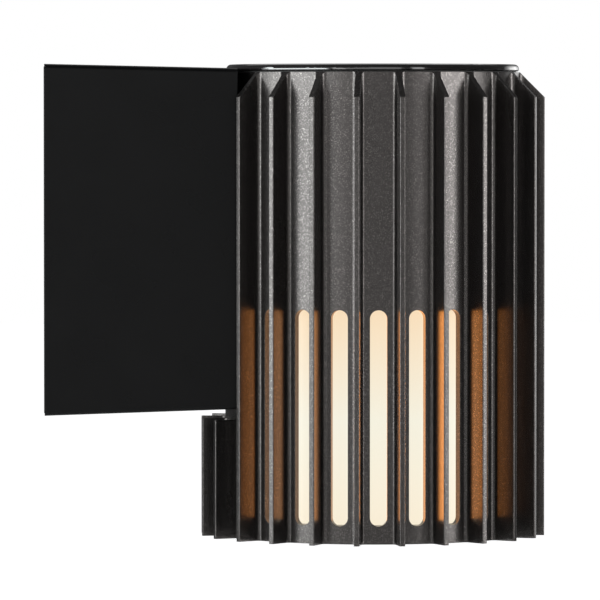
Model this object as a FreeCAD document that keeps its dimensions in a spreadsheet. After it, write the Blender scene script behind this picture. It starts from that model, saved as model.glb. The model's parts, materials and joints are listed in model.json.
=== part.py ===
import FreeCAD, Part
import math
import os
import re
import Sketcher

# Outdoor wall light: a finned round body, held off the wall by a drafted box.
# Millimetres, +Z up. The wall is the plane y = 0 and the light stands out of it towards -Y.
# The origin is the middle of the wall bracket's back face.
# Lamp parts are drawn around their own vertical axis, and placed at axis_to_wall.

V = FreeCAD.Vector

SIZES = {
    # Finned body
    "axis_to_wall": 109.0,
    "core_outer_r": 49.1,
    "core_wall": 2.5,
    "fin_depth": 8.3,
    "fin_thickness": 1.8,
    "fin_root_fillet": 1.4,
    "fin_edge_r": 0.3,
    "fin_count": 24,
    "short_fin_count": 4,
    "short_fin_gap": 4.0,
    # Light slots
    "slot_width": 5.6,
    "slot_sill": 5.9,
    "slot_count": 19,
    # Inside of the body
    "body_top_drop": 1.2,
    "deck_drop": 6.3,
    "deck_thickness": 3.0,
    "chamber_height": 56.5,
    "shoulder_lap": 0.3,
    "shoulder_thickness": 2.5,
    "shoulder_above_slots": 9.3,
    "flange_gap": 0.7,
    "flange_thickness": 2.0,
    "rim_seat_depth": 1.0,
    "rim_seat_width": 1.3,
    "arm_pad_height": 1.0,
    "arm_pad_r": 5.5,
    # Top cap
    "cap_inset": 0.4,
    "cap_thickness": 2.25,
    "cap_gap": 0.35,
    "cap_edge_r": 1.5,
    "cap_lower_edge": 0.4,
    "cap_spigot_gap": 0.4,
    "cap_spigot_wall": 2.5,
    "cap_spigot_length": 3.3,
    "cap_boss_r": 3.8,
    "cap_boss_inset": 14.6,
    "cap_boss_roof": 1.2,
    "cap_screw_count": 3,
    "gasket_side_gap": 0.1,
    # Lamp holder
    "holder_wall": 5.4,
    "holder_neck_inset": 4.0,
    "holder_neck_length": 6.0,
    "holder_shoulder": 4.0,
    "holder_floor_thickness": 15.0,
    "holder_rim_lap": 2.4,
    "holder_bore_gap": 0.45,
    "holder_screw_x": 10.0,
    "holder_lead_drop": 8.0,
    "holder_lead_x": 5.0,
    "holder_lead_hole_r": 1.6,
    "holder_lead_hole_depth": 8.0,
    "shell_gap": 0.35,
    "shell_wall": 0.6,
    "shell_end_gap": 3.0,
    "shell_lip": 6.0,
    "contact_r": 4.0,
    "contact_tip_r": 2.5,
    "contact_plate": 0.8,
    "contact_height": 1.5,
    "contact_gap": 0.1,
    # Lamp
    "tip_r": 4.5,
    "tip_height": 1.6,
    "insulator_top_ring": 1.0,
    "insulator_step": 0.8,
    "insulator_slope": 2.4,
    "insulator_rim": 1.0,
    "base_crest_r": 13.2,
    "thread_depth": 0.8,
    "base_wall": 1.0,
    "base_length": 22.0,
    "base_turns": 6,
    "collar_lip": 0.4,
    "collar_waist_r": 20.0,
    "collar_wall": 1.6,
    "collar_neck_length": 4.4,
    "collar_waist_drop": 20.4,
    "collar_length": 40.4,
    "led_board_thickness": 1.6,
    "bulb_air_gap": 7.8,
    "bulb_wall": 1.2,
    "bulb_mouth_share": 0.4,
    # Diffuser and its bezel
    "diffuser_inset": 6.6,
    "diffuser_wall": 2.2,
    "diffuser_floor": 2.5,
    "diffuser_inner_corner_r": 1.3,
    "diffuser_gasket": 1.0,
    "bulb_floor_gap": 13.0,
    "bezel_recess": 0.3,
    "bezel_lap": 4.0,
    "bezel_side_gap": 0.4,
    "bezel_chamfer": 0.8,
    "bezel_gasket": 0.7,
    "bezel_screw_count": 3,
    "bezel_head_cover": 0.2,
    "bezel_under_head": 1.1,
    "bezel_screw_end": 0.2,
    # Wall box
    "box_gasket": 1.2,
    "box_gasket_width": 3.6,
    "box_rim_lip": 0.8,
    "box_rim_gap": 0.2,
    "box_fin_gap": 3.94,
    "box_side_draft": 0.6,
    "box_top_draft": 1.4,
    "box_bottom_draft": 2.1,
    "box_corner_r": 1.6,
    "box_wall": 2.2,
    "saddle_gasket": 0.9,
    "saddle_gap": 0.05,
    "saddle_depth": 4.6,
    "saddle_side_gap": 4.0,
    "saddle_end_gap": 5.0,
    "saddle_pocket_gap": 1.5,
    # Heights inside the box, from its floor up: they add up to its height
    "arm_low_rise": 15.4,
    "terminal_rise": 12.0,
    "terminal_height": 20.0,
    "bush_rise": 22.0,
    "arm_high_rise": 20.0,
    "arm_high_to_top": 22.5,
    # Box to body joint
    "arm_boss_r": 4.6,
    "arm_boss_end": 1.8,
    "arm_screw_reach": 5.7,
    "washer_r": 4.4,
    "washer_thickness": 0.8,
    "bush_gap": 0.1,
    "bush_r": 4.9,
    "bush_bore_r": 2.6,
    "bush_flange_lip": 1.6,
    "bush_flange": 1.2,
    # Wall bracket
    "bracket_side_gap": 8.0,
    "bracket_end_gap": 10.5,
    "bracket_sheet": 2.0,
    "bracket_flange": 20.0,
    "bracket_inner_bend_r": 0.4,
    "wall_slot_width": 5.0,
    "wall_slot_length": 12.0,
    "wall_slot_spacing": 64.0,
    "cable_lip_width": 1.4,
    "cable_lip": 1.0,
    "grommet_gap": 0.05,
    "grommet_bore_r": 4.5,
    "grommet_wall": 3.45,
    "grommet_flange_lip": 1.1,
    "grommet_flange": 1.5,
    "grommet_sleeve_wall": 2.0,
    "grommet_length": 9.0,
    "lock_screw_inset": 7.0,
    "lock_screw_y": 11.0,
    "lock_screw_tip_gap": 0.1,
    "lock_screw_length": 9.6,
    "lock_boss_r": 4.2,
    "lock_boss_height": 4.0,
    # Terminals and earth
    "pole_pitch": 10.0,
    "terminal_side": 6.0,
    "terminal_depth": 14.0,
    "terminal_pad": 2.0,
    "terminal_pad_width": 10.0,
    "terminal_screw_z": 5.0,
    "terminal_screw_sink": 0.8,
    "well_gap": 0.2,
    "clamp_r": 3.0,
    "clamp_bore_r": 1.7,
    "clamp_gap": 0.05,
    "clamp_end_gap": 1.5,
    "earth_side_gap": 10.2,
    "earth_top_gap": 10.5,
    "earth_boss_r": 4.2,
    "earth_boss_length": 5.7,
    "tag_ring": 1.75,
    "tag_sheet": 0.8,
    "tag_barrel_wall": 0.8,
    "tag_barrel_length": 7.0,
    "tag_neck": 4.6,
    # Leads
    "lead_r": 1.1,
    "lead_x": 1.3,
    "lead_arc_share": 0.45,
    "lead_depth_in_clamp": 6.0,
    "lead_rise": 10.0,
    "lead_inner_gap": 12.7,
    "lead_up_gap": 11.7,
    "lead_end_gap": 1.2,
    "earth_lead_low_x": 4.0,
    "earth_lead_low_rise": 18.0,
    "earth_lead_mid_x": 3.0,
    "earth_lead_mid_drop": 13.4,
    "earth_lead_out": 7.5,
    "earth_lead_top_drop": 5.4,
    # Screws, by nominal size
    "thread_gap": 0.04,
    "hole_gap": 0.25,
    "screw_tip_gap": 0.5,
    "m4_r": 2.0,
    "m4_head_r": 3.6,
    "m4_head": 2.2,
    "m4_socket": 1.4,
    "m3_r": 1.5,
    "m3_head_r": 2.7,
    "m3_head": 1.8,
    "m3_socket": 1.1,
    "m2_r": 1.25,
    "m2_head_r": 2.1,
    "m2_head": 1.5,
    "m2_socket": 0.9,
    "socket_depth": 1.2,
    "holder_screw_grip": 8.0,
    # One overrun for every cut
    "overrun": 2.0,
}

# Places that follow from the sizes above
DERIVED = {
    # Box and bracket
    "box_front_height": "arm_low_rise + terminal_rise + terminal_height"
                        " + bush_rise + arm_high_rise + arm_high_to_top",
    "box_half_height": "(box_front_height + box_top_draft + box_bottom_draft) / 2",
    "box_front_top": "box_half_height - box_top_draft",
    "box_front_bottom": "box_bottom_draft - box_half_height",
    "first_fin_turn": "fin_pitch * (short_fin_count + 1) / 2",
    "box_half_width": "fin_tip_r * sin(first_fin_turn) - box_fin_gap",
    "box_front_half_width": "box_half_width - box_side_draft",
    "saddle_r": "core_outer_r + saddle_gasket + 2 * saddle_gap",
    "saddle_edge_x": "sqrt(saddle_r ^ 2 - (saddle_r - saddle_depth) ^ 2)",
    "saddle_half_width": "saddle_edge_x - saddle_side_gap",
    "saddle_pocket_x": "saddle_edge_x + saddle_pocket_gap",
    "box_inner_face": "saddle_r + box_wall",
    "box_front": "axis_to_wall - saddle_r + saddle_depth",
    "box_cavity_front": "axis_to_wall - box_inner_face",
    "bracket_half_width": "box_half_width - bracket_side_gap",
    "bracket_half_height": "box_half_height - bracket_end_gap",
    "bracket_bend_r": "bracket_sheet + bracket_inner_bend_r",
    "cable_hole_r": "grommet_bore_r + grommet_wall + grommet_gap",
    "cable_lip_r": "cable_hole_r + cable_lip_width",
    "grommet_flange_r": "cable_lip_r + grommet_flange_lip",
    "grommet_sleeve_r": "grommet_bore_r + grommet_sleeve_wall",
    "lock_screw_x": "bracket_half_width - lock_screw_inset",
    "lock_tip": "0 - bracket_half_height - lock_screw_tip_gap",
    # Heights inside the box
    "arm_screw_low": "box_front_bottom + arm_low_rise",
    "terminal_bottom": "arm_screw_low + terminal_rise",
    "terminal_top": "terminal_bottom + terminal_height",
    "terminal_mid": "terminal_top - terminal_height / 2",
    "bush_z": "terminal_top + bush_rise",
    "arm_screw_high": "bush_z + arm_high_rise",
    # Finned body
    "core_inner_r": "core_outer_r - core_wall",
    "fin_tip_r": "core_outer_r + fin_depth",
    "fin_pitch": "360 / fin_count",
    "short_fins_turn": "fin_pitch * (short_fin_count - 1)",
    "short_fin_top": "box_front_bottom - short_fin_gap",
    "body_top": "box_front_top - body_top_drop",
    "deck_top": "body_top - deck_drop",
    "deck_bottom": "deck_top - deck_thickness",
    "shoulder_top": "deck_bottom - chamber_height",
    "shoulder_bottom": "shoulder_top - shoulder_thickness",
    "shoulder_r": "diffuser_inner_r - shoulder_lap",
    "body_bottom": "bezel_bottom - bezel_recess",
    "slot_bottom": "body_bottom + slot_sill",
    "slot_top": "shoulder_bottom - shoulder_above_slots",
    "slots_turn": "fin_pitch * (slot_count - 1)",
    "rim_seat_r": "core_inner_r + rim_seat_width",
    "rim_seat": "body_top - rim_seat_depth",
    "arm_pad_face": "core_inner_r - arm_pad_height",
    "bush_hole_r": "bush_r + bush_gap",
    "bush_flange_r": "bush_r + bush_flange_lip",
    "bush_inner_face": "sqrt(core_inner_r ^ 2 - bush_flange_r ^ 2) - bush_gap",
    "arm_boss_length": "arm_screw_reach + screw_tip_gap + arm_boss_end",
    # Top cap
    "cap_r": "core_outer_r - cap_inset",
    "cap_bottom": "body_top + cap_gap",
    "cap_top": "cap_bottom + cap_thickness",
    "cap_spigot_r": "core_inner_r - cap_spigot_gap",
    "cap_boss_circle": "core_inner_r - cap_boss_inset",
    "cap_thread_top": "cap_bottom - cap_boss_roof",
    # Lamp holder
    "shell_inner_r": "base_crest_r + shell_gap",
    "shell_outer_r": "shell_inner_r + shell_wall",
    "shell_lip_r": "contact_r + shell_lip",
    "holder_bore_r": "shell_outer_r + holder_bore_gap",
    "holder_r": "holder_bore_r + holder_wall",
    "holder_neck_r": "holder_r - holder_neck_inset",
    "holder_floor": "deck_bottom - holder_floor_thickness",
    "holder_bottom": "base_bottom - holder_rim_lap",
    "holder_lead_z": "deck_bottom - holder_lead_drop",
    # Lamp
    "tip_top": "holder_floor - contact_height - contact_gap",
    "tip_bottom": "tip_top - tip_height",
    "insulator_top_r": "tip_r + insulator_top_ring",
    "insulator_r": "base_root_r - insulator_step",
    "base_root_r": "base_crest_r - thread_depth",
    "base_inner_r": "base_root_r - base_wall",
    "base_top": "tip_bottom - insulator_slope - insulator_rim",
    "base_bottom": "base_top - base_length",
    "thread_pitch": "base_length / base_turns",
    "collar_neck_r": "base_crest_r + collar_lip",
    "collar_bottom": "base_bottom - collar_length",
    "bulb_r": "diffuser_inner_r - bulb_air_gap",
    "bulb_centre": "collar_bottom - bulb_mouth_share * bulb_r",
    "bulb_mouth_r": "sqrt(bulb_r ^ 2 - (collar_bottom - bulb_centre) ^ 2)",
    "bulb_inner_r": "bulb_r - bulb_wall",
    "bulb_inner_mouth_r": "sqrt(bulb_inner_r ^ 2 - (collar_bottom - bulb_centre) ^ 2)",
    # Diffuser and bezel
    "diffuser_r": "core_inner_r - diffuser_inset",
    "diffuser_inner_r": "diffuser_r - diffuser_wall",
    "diffuser_corner_r": "diffuser_inner_corner_r + diffuser_wall",
    "diffuser_top": "shoulder_bottom - diffuser_gasket",
    "diffuser_floor_top": "bulb_centre - bulb_r - bulb_floor_gap",
    "bezel_top": "diffuser_floor_top - diffuser_floor",
    "bezel_counterbore_depth": "m2_head + bezel_head_cover",
    "bezel_thickness": "bezel_counterbore_depth + bezel_under_head",
    "bezel_bottom": "bezel_top - bezel_thickness",
    "bezel_inner_r": "diffuser_r - bezel_lap",
    "bezel_r": "core_inner_r - bezel_side_gap",
    "bezel_screw_circle": "(diffuser_r + bezel_r) / 2",
    "bezel_screw_length": "bezel_under_head + bezel_gasket + flange_thickness + bezel_screw_end",
    "flange_r": "diffuser_r + flange_gap",
    "flange_bottom": "bezel_top + bezel_gasket",
    "flange_top": "flange_bottom + flange_thickness",
    # Terminals and earth
    "terminal_width": "2 * (pole_pitch + terminal_side)",
    "terminal_face": "box_inner_face + terminal_pad",
    "terminal_centre": "terminal_face + terminal_depth / 2",
    "clamp_length": "terminal_height - 2 * clamp_end_gap",
    "earth_x": "box_front_half_width - box_wall - earth_side_gap",
    "earth_z": "box_front_top - earth_top_gap",
    "earth_face": "box_inner_face + earth_boss_length",
    "tag_r": "m4_r + hole_gap + tag_ring",
    "tag_barrel_r": "lead_r + tag_barrel_wall",
    "tag_barrel_foot": "earth_z - tag_neck - tag_barrel_length",
}

doc = FreeCAD.newDocument("wall_light")
sheet = doc.addObject("Spreadsheet::Sheet", "Sizes")
parts = []


def fill_sheet():
    """Writes each driving dimension to its own cell, under its own name."""
    for row, (name, size) in enumerate(SIZES.items(), start=1):
        sheet.set(f"A{row}", name)
        sheet.set(f"B{row}", str(size))
        sheet.setAlias(f"B{row}", name)
    doc.recompute()


def expand(text):
    """Turns names of sizes and of derived places into an expression on the sheet."""
    def full(match):
        word = match.group(0)
        if word in DERIVED:
            return f"({expand(DERIVED[word])})"
        return f"Sizes.{word}" if word in SIZES else word
    return re.sub(r"[A-Za-z_]\w*", full, text)


def value(text):
    return float(sheet.evalExpression(expand(text)))


def bind(target, setting, text):
    target.setExpression(setting, expand(text))


# Bodies, sketches and features

def new_body(label, ahead="0", up="0"):
    """Starts a piece whose own origin stands ahead of the wall and up from the bracket's middle."""
    body = doc.addObject("PartDesign::Body", label)
    if ahead != "0":
        bind(body, "Placement.Base.y", f"0 - ({ahead})")
    if up != "0":
        bind(body, "Placement.Base.z", up)
    parts.append(body)
    return body


def lamp_body(label):
    return new_body(label, ahead="axis_to_wall")


def origin_feature(body, role):
    return next(item for item in body.Origin.OriginFeatures if item.Role == role)


def pin_point(sketch, edge, end, x, y):
    """Holds one end of an edge, or a centre, at the place that two expressions give."""
    for kind, axis, text in (("DistanceX", -2, x), ("DistanceY", -1, y)):
        if text == "0":
            sketch.addConstraint(Sketcher.Constraint("PointOnObject", edge, end, axis))
            continue
        row = sketch.addConstraint(Sketcher.Constraint(kind, -1, 1, edge, end, value(text)))
        bind(sketch, f"Constraints[{row}]", text)


def add_circle(sketch, x, y, radius):
    centre = V(value(x), value(y), 0)
    edge = sketch.addGeometry(Part.Circle(centre, V(0, 0, 1), value(radius)), False)
    pin_point(sketch, edge, 3, x, y)
    row = sketch.addConstraint(Sketcher.Constraint("Radius", edge, value(radius)))
    bind(sketch, f"Constraints[{row}]", radius)


def arc_between(start, end, radius, bulge):
    """An arc of under half a circle, bulging left (1) or right (-1) of the way from start to end."""
    run = end - start
    left = V(-run.y, run.x, 0).normalize()
    rise = math.sqrt(radius ** 2 - (run.Length / 2) ** 2)
    centre = (start + end) / 2 - left * (rise * bulge)
    first, last = (end, start) if bulge > 0 else (start, end)
    angles = [math.atan2(p.y - centre.y, p.x - centre.x) for p in (first, last)]
    if angles[1] < angles[0]:
        angles[1] += 2 * math.pi
    circle = Part.Circle(centre, V(0, 0, 1), radius)
    return Part.ArcOfCircle(circle, *angles)


def add_loop(sketch, points):
    """Draws a closed outline. A point is (x, y), or (x, y, radius, bulge) where an arc leaves it."""
    places = [V(value(p[0]), value(p[1]), 0) for p in points]
    edges = []
    for number, point in enumerate(points):
        start, end = places[number], places[(number + 1) % len(points)]
        if len(point) == 2:
            edge = sketch.addGeometry(Part.LineSegment(start, end), False)
            edges.append((edge, 1, 2))
            continue
        arc = arc_between(start, end, value(point[2]), point[3])
        edge = sketch.addGeometry(arc, False)
        edges.append((edge, 2, 1) if point[3] > 0 else (edge, 1, 2))
        row = sketch.addConstraint(Sketcher.Constraint("Radius", edge, value(point[2])))
        bind(sketch, f"Constraints[{row}]", point[2])
    for number, point in enumerate(points):
        edge, first, last = edges[number]
        following = edges[(number + 1) % len(points)]
        join = Sketcher.Constraint("Coincident", edge, last, following[0], following[1])
        sketch.addConstraint(join)
        pin_point(sketch, edge, first, point[0], point[1])


def draw(body, name, role, loops, offset="0", turn="0"):
    """Makes a sketch on an origin plane. A loop is a (x, y, radius) tuple or a list of points."""
    sketch = body.newObject("Sketcher::SketchObject", f"{body.Label}_{name}")
    sketch.AttachmentSupport = [(origin_feature(body, role), "")]
    sketch.MapMode = "FlatFace"
    if offset != "0":
        bind(sketch, "AttachmentOffset.Base.z", offset)
    if turn != "0":
        axis = V(0, 0, 1) if role == "XY_Plane" else V(0, 1, 0)
        sketch.AttachmentOffset = FreeCAD.Placement(V(0, 0, 0), FreeCAD.Rotation(axis, 1))
        bind(sketch, "AttachmentOffset.Rotation.Angle", turn)
    for loop in loops:
        if isinstance(loop, tuple):
            add_circle(sketch, *loop)
        else:
            add_loop(sketch, loop)
    doc.recompute()
    return sketch


def settle(body, feature, before):
    """Makes a feature the body's tip, and stops if it changed nothing."""
    body.Tip = feature
    doc.recompute()
    if abs(feature.Shape.Volume - before) < 1e-6:
        raise RuntimeError(f"{feature.Label} changes nothing")
    return feature


def volume(body):
    return body.Shape.Volume if body.Tip else 0


def grow(body, sketch, kind, length, reverse=False):
    """Pads (or pockets) a sketch by a length along its normal (or against it), or the other way."""
    before = volume(body)
    feature = body.newObject(f"PartDesign::{kind}", f"{sketch.Label}_{kind.lower()}")
    feature.Profile = sketch
    feature.Reversed = reverse
    bind(feature, "Length", length)
    return settle(body, feature, before)


def pad(body, sketch, length, reverse=False):
    return grow(body, sketch, "Pad", length, reverse)


def pocket(body, sketch, length, reverse=False):
    return grow(body, sketch, "Pocket", length, reverse)


def spin(body, sketch, kind="Revolution", axis="V_Axis"):
    before = volume(body)
    feature = body.newObject(f"PartDesign::{kind}", f"{sketch.Label}_{kind.lower()}")
    feature.Profile = sketch
    feature.ReferenceAxis = (sketch, [axis])
    return settle(body, feature, before)


def repeat_round(body, feature, count, angle):
    """Repeats a feature around the body's vertical axis, the last copy at the angle given."""
    before = volume(body)
    pattern = body.newObject("PartDesign::PolarPattern", f"{feature.Label}_round")
    pattern.Originals = [feature]
    pattern.Axis = (origin_feature(body, "Z_Axis"), [""])
    bind(pattern, "Angle", angle)
    bind(pattern, "Occurrences", count)
    return settle(body, pattern, before)


def loft(body, sketches, kind):
    before = volume(body)
    feature = body.newObject(f"PartDesign::{kind}", f"{body.Label}_{kind.lower()}")
    feature.Profile = sketches[0]
    feature.Sections = sketches[1:]
    feature.Ruled = True
    return settle(body, feature, before)


def turned(label, outline):
    """A lamp part turned about its own vertical axis, from an outline of (radius, height) points."""
    body = lamp_body(label)
    spin(body, draw(body, "profile", "XZ_Plane", [outline]))
    return body


def rectangle(left, bottom, right, top):
    return [(left, bottom), (right, bottom), (right, top), (left, top)]


def rounded_rectangle(half_width, bottom, top, radius):
    """A rectangle about the vertical axis, with rounded corners."""
    right, left = half_width, f"0 - ({half_width})"
    return [
        (f"{left} + {radius}", bottom),
        (f"{right} - {radius}", bottom, radius, -1),
        (right, f"{bottom} + {radius}"),
        (right, f"{top} - {radius}", radius, -1),
        (f"{right} - {radius}", top),
        (f"{left} + {radius}", top, radius, -1),
        (left, f"{top} - {radius}"),
        (left, f"{bottom} + {radius}", radius, -1),
    ]


def stadium(half_width, bottom, top):
    """An upright slot with round ends, about the vertical axis."""
    left = f"0 - {half_width}"
    low, high = f"{bottom} + {half_width}", f"{top} - {half_width}"
    return [
        (left, low, half_width, -1),
        ("0", bottom, half_width, -1),
        (half_width, low),
        (half_width, high, half_width, -1),
        ("0", top, half_width, -1),
        (left, high),
    ]


def round_places(circle, count):
    """Centres on a circle, as expressions, the first one towards the wall."""
    turns = [f"90 + 360 / {count} * {number}" for number in range(int(value(count)))]
    return [(f"{circle} * cos({turn})", f"{circle} * sin({turn})") for turn in turns]


def both_sides(x, y):
    """A place on the right and the same place on the left."""
    return [(f"0 + {x}", y), (f"0 - {x}", y)]


def hexagon(x, y, half_flats):
    """A hexagonal recess, by its centre and half its width across flats."""
    corner = f"({half_flats}) / cos(30)"
    return [(f"{x} + {corner} * cos({60 * k})", f"{y} + {corner} * sin({60 * k})") for k in range(6)]


def upright_screws(label, places, head_face, grip, size, head_below=True):
    """Vertical screws in a lamp part: the underside of each head lies on head_face."""
    body = lamp_body(label)
    down = "-" if head_below else "+"
    shanks = [(x, y, f"{size}_r") for x, y in places]
    pad(body, draw(body, "shanks", "XY_Plane", shanks, head_face), grip, not head_below)
    heads = [(x, y, f"{size}_head_r") for x, y in places]
    pad(body, draw(body, "heads", "XY_Plane", heads, head_face), f"{size}_head", head_below)
    recess = [hexagon(x, y, f"{size}_socket") for x, y in places]
    outer_face = f"{head_face} {down} {size}_head"
    sketch = draw(body, "recess", "XY_Plane", recess, outer_face)
    pocket(body, sketch, "socket_depth", head_below)
    return body


def level_screws(body, places, head_face, grip, size, head_rear):
    """Screws along Y: heads on a face that lies head_face ahead of the body's own origin plane."""
    shanks = [(x, z, f"{size}_r") for x, z in places]
    pad(body, draw(body, "shanks", "XZ_Plane", shanks, head_face), grip, not head_rear)
    heads = [(x, z, f"{size}_head_r") for x, z in places]
    pad(body, draw(body, "heads", "XZ_Plane", heads, head_face), f"{size}_head", head_rear)
    recess = [hexagon(x, z, f"{size}_socket") for x, z in places]
    sign = "-" if head_rear else "+"
    sketch = draw(body, "recess", "XZ_Plane", recess, f"{head_face} {sign} {size}_head")
    pocket(body, sketch, "socket_depth", head_rear)
    return body


def cap_screw_places():
    return round_places("cap_boss_circle", "cap_screw_count")


def bezel_screw_places():
    return round_places("bezel_screw_circle", "bezel_screw_count")


# Finned body

def fin_outline():
    """One fin along +X, with fillets that run into the core and a softened tip."""
    half = "fin_thickness / 2"
    edge = "fin_edge_r"
    fillet = "fin_root_fillet"
    arc_y = f"({half} + {fillet})"
    arc_x = f"sqrt((core_outer_r + {fillet}) ^ 2 - {arc_y} ^ 2)"
    share = f"core_outer_r / (core_outer_r + {fillet})"
    foot_x, foot_y = f"{arc_x} * {share}", f"{arc_y} * {share}"
    return [
        (foot_x, f"0 - {foot_y}", fillet, 1),
        (arc_x, f"0 - {half}"),
        (f"fin_tip_r - {edge}", f"0 - {half}", edge, -1),
        ("fin_tip_r", f"{edge} - {half}"),
        ("fin_tip_r", f"{half} - {edge}", edge, -1),
        (f"fin_tip_r - {edge}", half),
        (arc_x, half, fillet, 1),
        (foot_x, foot_y),
        (f"{foot_x} - fin_thickness / 2", "0"),
    ]


def finned_body():
    """The cast body: a tube with a deck, a shoulder and a flange inside, and fins outside."""
    body = lamp_body("finned_body")
    tube = [
        ("core_inner_r", "body_bottom"),
        ("core_outer_r", "body_bottom"),
        ("core_outer_r", "body_top"),
        ("rim_seat_r", "body_top"),
        ("rim_seat_r", "rim_seat"),
        ("core_inner_r", "rim_seat"),
        ("core_inner_r", "deck_top"),
        ("0", "deck_top"),
        ("0", "deck_bottom"),
        ("core_inner_r", "deck_bottom"),
        ("core_inner_r", "shoulder_top"),
        ("shoulder_r", "shoulder_top"),
        ("shoulder_r", "shoulder_bottom"),
        ("core_inner_r", "shoulder_bottom"),
        ("core_inner_r", "flange_top"),
        ("flange_r", "flange_top"),
        ("flange_r", "flange_bottom"),
        ("core_inner_r", "flange_bottom"),
    ]
    spin(body, draw(body, "tube", "XZ_Plane", [tube]))
    add_fins(body)
    add_slots(body)
    add_body_holes(body)


def add_fins(body):
    """Full fins all round but behind the box, where short ones stand below it."""
    first = "90 + first_fin_turn"
    sketch = draw(body, "fin", "XY_Plane", [fin_outline()], "body_bottom", first)
    feature = pad(body, sketch, "body_top - body_bottom")
    full_count = "fin_count - short_fin_count"
    repeat_round(body, feature, full_count, f"fin_pitch * ({full_count} - 1)")
    first = "90 - fin_pitch * (short_fin_count - 1) / 2"
    sketch = draw(body, "short_fin", "XY_Plane", [fin_outline()], "body_bottom", first)
    feature = pad(body, sketch, "short_fin_top - body_bottom")
    repeat_round(body, feature, "short_fin_count", "short_fins_turn")
    reach = "(fin_tip_r - core_outer_r + overrun)"
    bevel = [
        ("core_outer_r", "body_top"),
        (f"core_outer_r + {reach}", f"body_top - {reach}"),
        (f"core_outer_r + {reach}", "body_top"),
    ]
    spin(body, draw(body, "bevel", "XZ_Plane", [bevel]), "Groove")


def add_slots(body):
    """Round-ended light slots, one between each two fins on the sides and front."""
    slot = stadium("slot_width / 2", "slot_bottom", "slot_top")
    sketch = draw(body, "slot", "XZ_Plane", [slot], turn="0 - slots_turn / 2")
    feature = pocket(body, sketch, "fin_tip_r", True)
    repeat_round(body, feature, "slot_count", "slots_turn")


def add_body_holes(body):
    """Holes for the cap, holder, bezel and arm screws, and for the leads."""
    holes = [(x, y, "m4_r + hole_gap") for x, y in cap_screw_places()]
    holes += [(x, y, "m3_r + hole_gap") for x, y in both_sides("holder_screw_x", "0")]
    sketch = draw(body, "deck_holes", "XY_Plane", holes, "deck_top + overrun")
    pocket(body, sketch, "deck_thickness + 2 * overrun")
    threads = [(x, y, "m2_r + thread_gap") for x, y in bezel_screw_places()]
    sketch = draw(body, "flange_holes", "XY_Plane", threads, "flange_top + overrun")
    pocket(body, sketch, "flange_thickness + 2 * overrun")
    heights = ("arm_screw_high", "arm_screw_low")
    pads = [("0", z, "arm_pad_r") for z in heights]
    sketch = draw(body, "arm_pads", "XZ_Plane", pads, "0 - arm_pad_face")
    pad(body, sketch, "core_inner_r - arm_pad_face + core_wall / 2", True)
    holes = [("0", z, "m4_r + hole_gap") for z in heights]
    holes.append(("0", "bush_z", "bush_hole_r"))
    sketch = draw(body, "arm_holes", "XZ_Plane", holes, "overrun - arm_pad_face")
    pocket(body, sketch, "core_outer_r - arm_pad_face + 2 * overrun")


# Top cap

def top_cap():
    body = turned("top_cap", [
        ("0", "cap_bottom"),
        ("cap_spigot_r - cap_spigot_wall", "cap_bottom"),
        ("cap_spigot_r - cap_spigot_wall", "cap_bottom - cap_spigot_length"),
        ("cap_spigot_r", "cap_bottom - cap_spigot_length"),
        ("cap_spigot_r", "cap_bottom"),
        ("cap_r - cap_lower_edge", "cap_bottom"),
        ("cap_r", "cap_bottom + cap_lower_edge"),
        ("cap_r", "cap_top - cap_edge_r", "cap_edge_r", -1),
        ("cap_r - cap_edge_r", "cap_top"),
        ("0", "cap_top"),
    ])
    places = cap_screw_places()
    bosses = [(x, y, "cap_boss_r") for x, y in places]
    pad(body, draw(body, "bosses", "XY_Plane", bosses, "deck_top"), "cap_bottom - deck_top")
    holes = [(x, y, "m4_r + thread_gap") for x, y in places]
    sketch = draw(body, "holes", "XY_Plane", holes, "deck_top - overrun")
    pocket(body, sketch, "cap_thread_top - deck_top + overrun", True)


def ring(label, inner, outer, bottom, top):
    return turned(label, rectangle(inner, bottom, outer, top))


def cap_fixings():
    inner, outer = "core_inner_r + gasket_side_gap", "rim_seat_r - gasket_side_gap"
    ring("cap_gasket", inner, outer, "rim_seat", "cap_bottom")
    grip = "cap_thread_top - deck_bottom - screw_tip_gap"
    upright_screws("cap_screws", cap_screw_places(), "deck_bottom", grip, "m4")


# Lamp holder

def lamp_holder():
    neck = "deck_bottom - holder_neck_length"
    body = turned("lamp_holder", [
        ("0", "deck_bottom"),
        ("0", "holder_floor"),
        ("holder_bore_r", "holder_floor"),
        ("holder_bore_r", "holder_bottom"),
        ("holder_r", "holder_bottom"),
        ("holder_r", f"{neck} - holder_shoulder"),
        ("holder_neck_r", neck),
        ("holder_neck_r", "deck_bottom"),
    ])
    holes = [(x, y, "m3_r + thread_gap") for x, y in both_sides("holder_screw_x", "0")]
    depth = "holder_screw_grip + screw_tip_gap"
    pocket(body, draw(body, "holes", "XY_Plane", holes, "deck_bottom"), depth)
    entries = [(x, z, "holder_lead_hole_r") for x, z in both_sides("holder_lead_x", "holder_lead_z")]
    sketch = draw(body, "entries", "XZ_Plane", entries, "holder_lead_hole_depth - holder_r")
    pocket(body, sketch, "holder_lead_hole_depth + overrun")


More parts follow.
